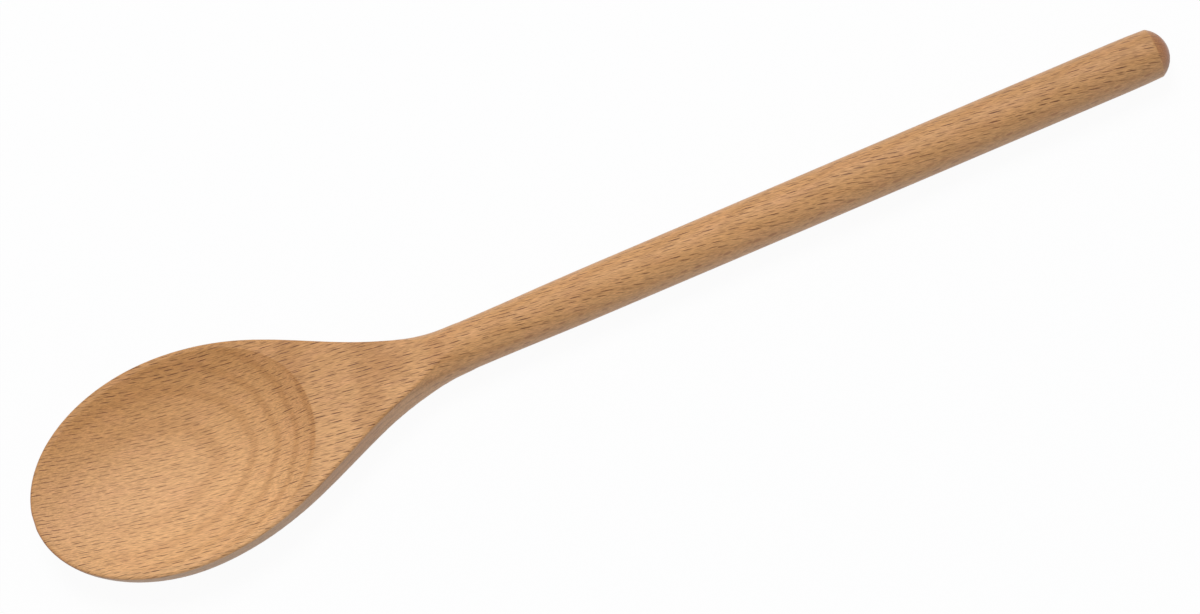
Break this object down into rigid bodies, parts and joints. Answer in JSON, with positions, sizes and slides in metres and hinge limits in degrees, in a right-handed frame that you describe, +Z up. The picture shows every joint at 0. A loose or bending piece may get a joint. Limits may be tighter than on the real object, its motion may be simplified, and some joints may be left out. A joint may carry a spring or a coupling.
{
  "type": "wooden spoon",
  "caption": "One-piece wooden cooking spoon with a round turned handle and a flat-faced oval blade holding a shallow hollow.",
  "frame": {"origin": "on the table under the middle of the spoon's length, level with the lowest line of the belly and the handle", "axes": "+X from the bowl's tip to the end of the handle, +Z up out of the hollow, +Y across the bowl"},
  "size_m": [0.3, 0.0556, 0.0127],
  "materials": {
    "sanded_beech": "fine-sanded bare wood"
  },
  "bodies": {
    "root": {"spoon": "sanded_beech"}
  },
  "joints": []
}
